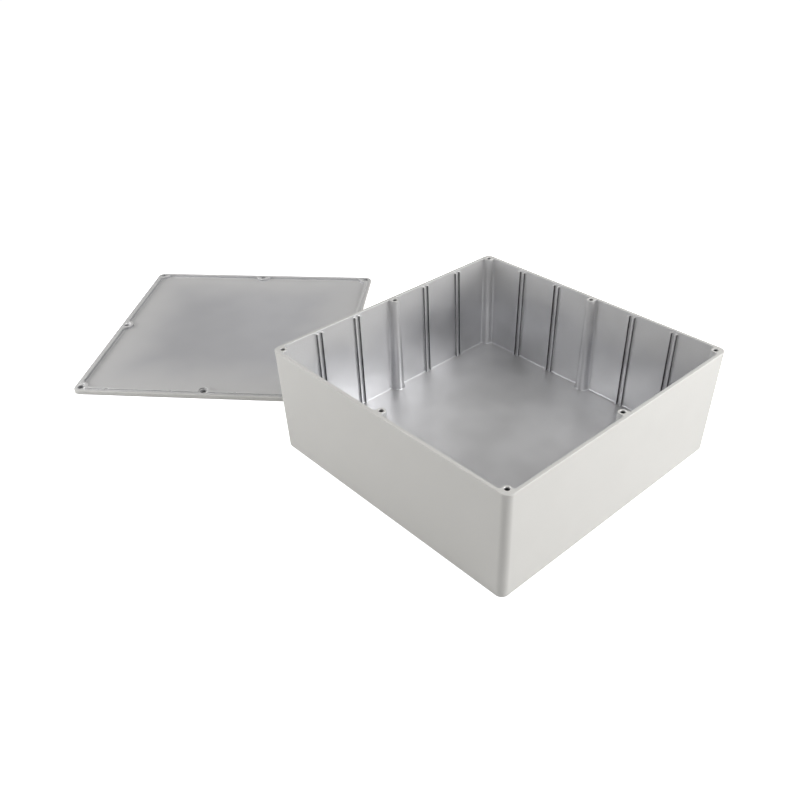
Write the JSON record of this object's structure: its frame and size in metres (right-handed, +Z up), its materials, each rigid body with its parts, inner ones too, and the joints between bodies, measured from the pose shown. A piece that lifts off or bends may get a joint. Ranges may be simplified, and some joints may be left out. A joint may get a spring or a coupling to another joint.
{
  "type": "shielded die cast enclosure",
  "caption": "Square cast metal electronics box with drafted walls, screw bosses and circuit card guide ribs inside, its flat ridged lid taken off and laid beside it.",
  "frame": {"origin": "middle of the box's underside", "axes": "+Z up out of the open top, +X and +Y square to the walls; the lid lies on the +Y side, inner face up, on the surface that the box stands on"},
  "size_m": [0.2616, 0.4636, 0.07],
  "materials": {
    "box_casting": "light grey paint outside and on the rim, bare satin cast metal inside with overspray near the rim",
    "lid_casting": "light grey paint on the flange and outer face, bare satin cast metal on the inner panel"
  },
  "bodies": {
    "root": {"box_body": "box_casting", "lid": "lid_casting"}
  },
  "joints": []
}
